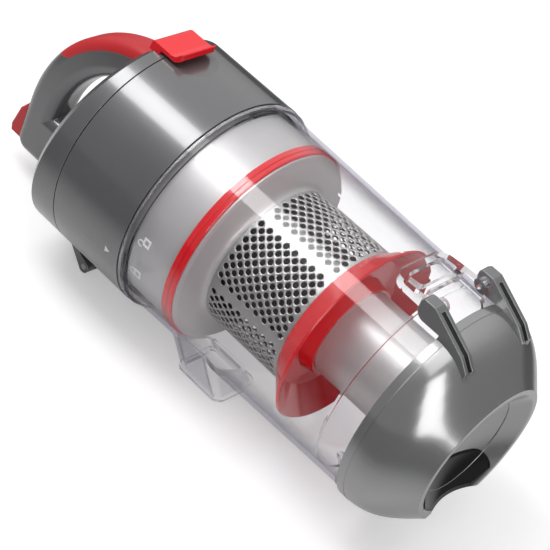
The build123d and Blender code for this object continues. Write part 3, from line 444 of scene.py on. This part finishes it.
def padlock(name, shift, angle):
    build = bmesh.new()
    ends = [build.verts.new((0, shackle_inner, 0)), build.verts.new((0, shackle_outer, 0))]
    line = build.edges.new(ends)
    bmesh.ops.spin(build, geom=ends + [line], cent=(0, 0, 0), axis=(0, 0, 1), angle=pi, steps=10)
    legs = [edge for edge in build.edges if all(abs(vert.co.x) < on_axis for vert in edge.verts)]
    for leg in sorted(legs, key=lambda edge: edge.verts[0].co.y):
        grown = bmesh.ops.extrude_edge_only(build, edges=[leg])["geom"]
        moved = [item for item in grown if isinstance(item, bmesh.types.BMVert)]
        bmesh.ops.translate(build, vec=(shackle_leg, 0, 0), verts=moved)
    bmesh.ops.translate(build, vec=(0, shift, 0), verts=build.verts[:])
    before = len(build.verts)
    bmesh.ops.create_grid(build, x_segments=1, y_segments=1, size=plate_half)
    build.verts.ensure_lookup_table()
    plate_verts = build.verts[before:]
    bmesh.ops.translate(build, vec=(plate_drop, 0, 0), verts=plate_verts)
    plate = [face for face in build.faces if face.verts[0] in plate_verts]
    bmesh.ops.inset_individual(build, faces=plate, thickness=plate_frame)
    bmesh.ops.delete(build, geom=plate, context="FACES")
    wrap(build, name, sign_place, bin_radius, angle, "bin")


padlock("sign_locked", 0.0, locked_angle)
padlock("sign_open", open_shift, open_angle)

# %% [markdown]
# ## The arrow
# The arrow on the collar points at the padlock that the head stands at. A circle with three corners is
# already a triangle, so it is only turned towards the canister and wrapped in line with the closed padlock.

# %% Arrow
arrow_place, collar_radius, arrow_size = -0.009, 0.072, 0.0025
build = bmesh.new()
bmesh.ops.create_circle(build, cap_ends=True, segments=3, radius=arrow_size)
bmesh.ops.rotate(build, cent=(0, 0, 0), matrix=Matrix.Rotation(-pi / 2, 3, "Z"), verts=build.verts[:])
wrap(build, "sign_arrow", arrow_place, collar_radius, locked_angle, "head")

# %% [markdown]
# ## The lid's finger well, with painted shade
# A black pad lies in the hollow end of the lid, at the lower edge where the fingers pull. It is painted
# shade: a dark sheet laid where the deep hollow lies in shade. The hollow was turned from a ball, and a round
# notch, sloping at 45 degrees, takes away its lower edge. The pad could be cut from the solid, but a flat
# grid
# is simpler: its rows are stretched between the pad's round top corners and the notch, and each point is then
# laid on the ball.

# %% Finger well, painted shade
dish_radius, dish_depth, dish_drop = 0.0415, 0.017, 0.0035
lid_end = 0.2138
ball = (dish_radius ** 2 + dish_depth ** 2) / (2 * dish_depth)
ball_centre = Vector((head_place + lid_end - dish_depth + ball, 0.0, axis_height - dish_drop))
pad_half, pad_flat, pad_top, pad_corner = 0.0295, 0.0185, -0.0165, 0.0115
pad_rim, pad_lift, pad_thickness = 0.0402, 0.0003, 0.0002
notch_radius, notch_drop, notch_gap = 0.070, 0.0325, 0.0004
notch_slope = 0.5 ** 0.5


def notch_edge(across):
    slip = (notch_radius - (notch_radius ** 2 - across ** 2) ** 0.5) * notch_slope
    reach, drop = slip + dish_depth - ball, -notch_drop - slip
    both = reach + drop
    root = both ** 2 - 2 * (reach ** 2 + drop ** 2 - ball ** 2 + across ** 2)
    return -(both + root ** 0.5) / 2 + drop + notch_gap


build = bmesh.new()
bmesh.ops.create_grid(build, x_segments=40, y_segments=12, size=1.0)
for vert in build.verts:
    across = pad_half * vert.co.x
    corner = max(abs(across) - pad_flat, 0.0)
    top = pad_top - pad_corner + (pad_corner ** 2 - corner ** 2) ** 0.5
    low = max(notch_edge(across), -(pad_rim ** 2 - across ** 2) ** 0.5)
    up = low + (top - low) * (vert.co.y + 1) / 2
    deep = ((ball - pad_lift) ** 2 - across ** 2 - up ** 2) ** 0.5
    vert.co = ball_centre + Vector((-deep, across, up))
bmesh.ops.recalc_face_normals(build, faces=build.faces[:])
well = keep_mesh(build, "finger_well_painted_shade", "lid", "painted_shade_black")
thicken(well, pad_thickness)
print("well", len(well.data.polygons))

# %% [markdown]
# ## The parting line of the insert
# The bottom of the hollow is a round insert, which shows only its thin bright parting line. A small circle
# spun once round the lid's axis makes that line as a fine ring lying on the ball.

# %% Parting line
line_radius, line_thickness, line_lift = 0.0315, 0.0003, 0.0002
build = bmesh.new()
hoop = bmesh.ops.create_circle(build, segments=8, radius=line_thickness)["verts"]
bmesh.ops.rotate(build, cent=(0, 0, 0), matrix=Matrix.Rotation(pi / 2, 3, "X"), verts=hoop)
line_depth = ((ball - line_lift) ** 2 - line_radius ** 2) ** 0.5
bmesh.ops.translate(build, vec=ball_centre + Vector((-line_depth, 0, line_radius)), verts=hoop)
bmesh.ops.spin(build, geom=hoop + build.edges[:], cent=ball_centre, axis=(1, 0, 0), angle=2 * pi, steps=96,
               use_merge=True)
bmesh.ops.recalc_face_normals(build, faces=build.faces[:])
insert_line = keep_mesh(build, "insert_line", "lid", "silver")
print("line", len(insert_line.data.polygons))

# %% [markdown]
# ## The slots of the prongs, with painted shade
# Each prong is a channel with bright walls, and the shade deep in it is painted by a black strip lying in
# it. The slot could be painted black, but the strip also gives it a floor. A short edge across the slot is
# drawn out along the prong's back and made nearly a millimetre thick.

# %% Prong slot strips, painted shade
def strip(spots, half_width):
    build = bmesh.new()
    ends = [build.verts.new(spots[0] + Vector((0, half, 0))) for half in (-half_width, half_width)]
    front = [build.edges.new(ends)]
    for before, after in zip(spots, spots[1:]):
        grown = bmesh.ops.extrude_edge_only(build, edges=front)["geom"]
        moved = [item for item in grown if isinstance(item, bmesh.types.BMVert)]
        edges = [item for item in grown if isinstance(item, bmesh.types.BMEdge)]
        front = [edge for edge in edges if all(vert in moved for vert in edge.verts)]
        bmesh.ops.translate(build, vec=after - before, verts=moved)
    bmesh.ops.recalc_face_normals(build, faces=build.faces[:])
    if build.faces[:][0].normal.z < 0:
        bmesh.ops.reverse_faces(build, faces=build.faces[:])
    return build


slot_shade_path = ((0.1690, 0.0735), (0.1911, 0.0618), (0.1969, 0.0558))
slot_shade_half, slot_shade_thickness, prong_middle = 0.00165, 0.0008, 0.02485
for name, middle in (("near_slot_shade", -prong_middle), ("far_slot_shade", prong_middle)):
    spots = [Vector((head_place + along, middle, axis_height + up)) for along, up in slot_shade_path]
    slot_shade = keep_mesh(strip(spots, slot_shade_half), name, "lid", "painted_shade_black", smooth=False)
    thicken(slot_shade, slot_shade_thickness)
    print("slot_shade", name, len(slot_shade.data.polygons))

# %% [markdown]
# ## The button's spring
# Behind the red button a folded leaf spring pushes it out again. It is a strip of spring steel bent to and
# fro. The solid spring is rigid, so this one takes its place: it is folded in the same box. The button goes
# in by four millimetres.

# %% Button spring
spring = nodes["button_spring"]
corners = [spring.matrix_world @ Vector(corner) for corner in spring.bound_box]
low = Vector([min(corner[side] for corner in corners) for side in range(3)])
high = Vector([max(corner[side] for corner in corners) for side in range(3)])
folds, leaf, press = 4, 0.0006, 0.004
fold_step = (high.x - low.x - 2 * leaf) / folds
middle = (low.y + high.y) / 2
spots = [Vector((low.x + leaf + fold_step * fold, middle, high.z - leaf if fold % 2 else low.z + leaf))
         for fold in range(folds + 1)]
folded = keep_mesh(strip(spots, (high.y - low.y) / 2), "folded_spring", "cover", "pin_steel",
                   smooth=False)
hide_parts("button_spring")
thicken(folded, leaf, offset=0.0)
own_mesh(folded)
print("spring", [round(1000 * (high[side] - low[side]), 2) for side in range(3)])

# %% [markdown]
# ## The table
# A white sheet under the bin takes the shadow. For camera, mirror and glass rays it glows a little, more so
# far away, and so it comes out white without more lamp light on the bin. In a mirror it is darker, most of
# all away from the bin, which gives the metallic coats their dark bands.

# %% Table finish
table_colour, mirrored_colour = (0.8, 0.8, 0.8, 1), (0.06, 0.06, 0.062, 1)
glow_near, glow_far = 0.38, 0.95
glow_start, glow_end = 0.3, 1.8
patch_scale, patch_place = (2.8, 3.9, 1.0), (0.05, -0.39, 0.0)
patch_start, patch_end = 0.8, 1.4
mirrored_least = 0.5
after_mirror = 0.5


def distance_of(tree, vector):
    return join(tree, "ShaderNodeVectorMath", "LENGTH", vector, (0, 0, 0)).outputs["Value"]


def table_finish():
    material = bpy.data.materials.new("table_white")
    material.use_nodes = True
    tree = material.node_tree
    shader = tree.nodes["Principled BSDF"]
    light = add(tree, "ShaderNodeLightPath").outputs
    seen = combine(tree, "MAXIMUM", light["Is Camera Ray"], light["Is Transmission Ray"])
    seen = combine(tree, "MAXIMUM", seen, light["Is Glossy Ray"])
    ground = add(tree, "ShaderNodeTexCoord").outputs["Object"]
    away = distance_of(tree, ground)
    glow = rescale(tree, away, glow_start, glow_end, glow_near, glow_far, "SMOOTHSTEP")
    feed(tree, shader, Base_Color=table_colour, Roughness=0.9, Emission_Color=(1, 1, 1, 1),
         Emission_Strength=combine(tree, "MULTIPLY", seen, glow))
    patch = feed(tree, add(tree, "ShaderNodeMapping"), Vector=ground, Scale=patch_scale, Location=patch_place)
    beyond = distance_of(tree, patch.outputs["Vector"])
    dark = rescale(tree, beyond, patch_start, patch_end, low=mirrored_least, interpolation="SMOOTHSTEP")
    mirrored = combine(tree, "GREATER_THAN", light["Glossy Depth"], after_mirror)
    shade = feed(tree, add(tree, "ShaderNodeBsdfDiffuse"), Color=mirrored_colour)
    table = layer(tree, combine(tree, "MULTIPLY", mirrored, dark), shader, shade)
    tree.links.new(table.outputs[0], tree.nodes["Material Output"].inputs["Surface"])
    print("finish", material.name)
    return material


table_white = table_finish()

# %% [markdown]
# ## Laying the table
# The sheet is one large disc, far wider than the picture, lying a hair below the bin so that the two never
# share a plane. It belongs to the stage, so it is not a piece of the bin.

# %% Floor
floor_radius, floor_drop = 2.5, 0.0002
mesh = bpy.data.meshes.new("floor")
build = bmesh.new()
bmesh.ops.create_circle(build, cap_ends=True, segments=64, radius=floor_radius)
build.to_mesh(mesh)
build.free()
mesh.materials.append(table_white)
floor = bpy.data.objects.new("floor", mesh)
bpy.context.scene.collection.objects.link(floor)
floor.location.z = -floor_drop
floor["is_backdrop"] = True
print("floor radius", floor_radius, "m")

# %% [markdown]
# ## The room
# A round metallic wall mirrors a whole slice of the room, so the room is drawn: bright overhead and behind
# the handle, dim on the camera's side. The camera sees it white, straight or through the clear wall. A ray
# that has been mirrored inside the canister sees little of that white, so that the reds stay deep.

# %% World
bright_side = (-0.45, 0.35, 0.82)
room_dim, room_bright = 0.17, 0.72
dim_until, bright_from = 0.25, 0.95
mirrored_white = 0.12
white = (1, 1, 1, 1)
world = bpy.data.worlds.new("studio")
bpy.context.scene.world = world
world.use_nodes = True
tree = world.node_tree
direction = add(tree, "ShaderNodeTexCoord").outputs["Generated"]
toward = join(tree, "ShaderNodeVectorMath", "DOT_PRODUCT", direction, bright_side).outputs["Value"]
level = rescale(tree, toward, dim_until, bright_from, room_dim, room_bright, "SMOOTHSTEP")
room = feed(tree, tree.nodes["Background"], Color=white, Strength=level)
backdrop = feed(tree, add(tree, "ShaderNodeBackground"), Color=white)
light = add(tree, "ShaderNodeLightPath").outputs
straight = combine(tree, "LESS_THAN", light["Glossy Depth"], after_mirror)
share = rescale(tree, straight, 0.0, 1.0, low=mirrored_white)
through_wall = combine(tree, "MULTIPLY", light["Is Transmission Ray"], share)
seen = combine(tree, "MAXIMUM", light["Is Camera Ray"], through_wall)
studio = layer(tree, seen, room, backdrop)
tree.links.new(studio.outputs[0], tree.nodes["World Output"].inputs["Surface"])
print("room", room_dim, room_bright)

# %% [markdown]
# ## The lamps
# Shop pictures of glossy things use soft boxes, because what the gloss shows is the lamp's own shape. A long
# box over the bin draws the streak along its axis, one at the end draws the panel on the lid, and a small
# one overhead softens the shadows.

# %% Lamps
centre = Vector((0.0, 0.0, axis_height))


def soft_box(name, toward, distance, along, width, length, power):
    lamp = bpy.data.lights.new(name, "AREA")
    lamp.shape = "RECTANGLE"
    lamp.size = length
    lamp.size_y = width
    lamp.energy = power
    box = bpy.data.objects.new(name, lamp)
    bpy.context.scene.collection.objects.link(box)
    back = Vector(toward).normalized()
    run = Vector(along) - back * back.dot(Vector(along))
    run.normalize()
    turn = Matrix((run, back.cross(run), back)).transposed()
    box.matrix_world = Matrix.Translation(centre + back * distance) @ turn.to_4x4()
    box.visible_camera = False
    print("lamp", name, [round(v, 2) for v in box.location])


soft_box("key_box", (-0.40, -0.26, 0.83), 1.1, along=(1, 0, 0), width=0.34, length=1.0, power=6.2)
soft_box("end_box", (0.80, -0.36, 0.40), 0.9, along=(0, 1, 0), width=0.8, length=0.3, power=2.2)
soft_box("top_box", (0.25, -0.20, 0.94), 1.0, along=(1, 0, 0), width=0.6, length=0.5, power=1.3)

# %% [markdown]
# ## The camera
# The picture looks from the inlet's side over the lid, with a long lens about a metre away, and the camera
# is rolled so that the bin seems to slide down to the right. The lens is given as a focal length in pixels
# of the picture, and turned into millimetres on the sensor.

# %% Camera
sensor = 36.0
picture = 550


def aim_camera(target, azimuth, elevation, roll, distance, focal_pixels):
    swing, rise, tilt = radians(azimuth), radians(elevation), radians(roll)
    toward = Vector((cos(rise) * sin(swing), -cos(rise) * cos(swing), sin(rise)))
    level = Vector((cos(swing), sin(swing), 0.0))
    above = toward.cross(level)
    right = level * cos(tilt) + above * sin(tilt)
    up = above * cos(tilt) - level * sin(tilt)
    data = bpy.data.cameras.new("camera")
    data.sensor_width = sensor
    data.lens = focal_pixels * sensor / picture
    data.clip_end = 50.0
    camera = bpy.data.objects.new("camera", data)
    bpy.context.scene.collection.objects.link(camera)
    turn = Matrix((right, up, toward)).transposed()
    camera.matrix_world = Matrix.Translation(Vector(target) + toward * distance) @ turn.to_4x4()
    bpy.context.scene.camera = camera
    print("camera", [round(v, 3) for v in camera.matrix_world.translation])


aim_camera(target=(0.0288, -0.0006, 0.0757), azimuth=29.87, elevation=38.02, roll=23.0, distance=1.0,
           focal_pixels=1768.6)
bpy.context.scene.view_settings.view_transform = "Standard"

# %% [markdown]
# ## Finish
# The size of the dressed bin, without the table, is printed in millimetres.

# %% Finish
bpy.context.view_layer.update()
low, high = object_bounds()
print("size", [round(1000 * (high[side] - low[side]), 1) for side in range(3)], "mm")
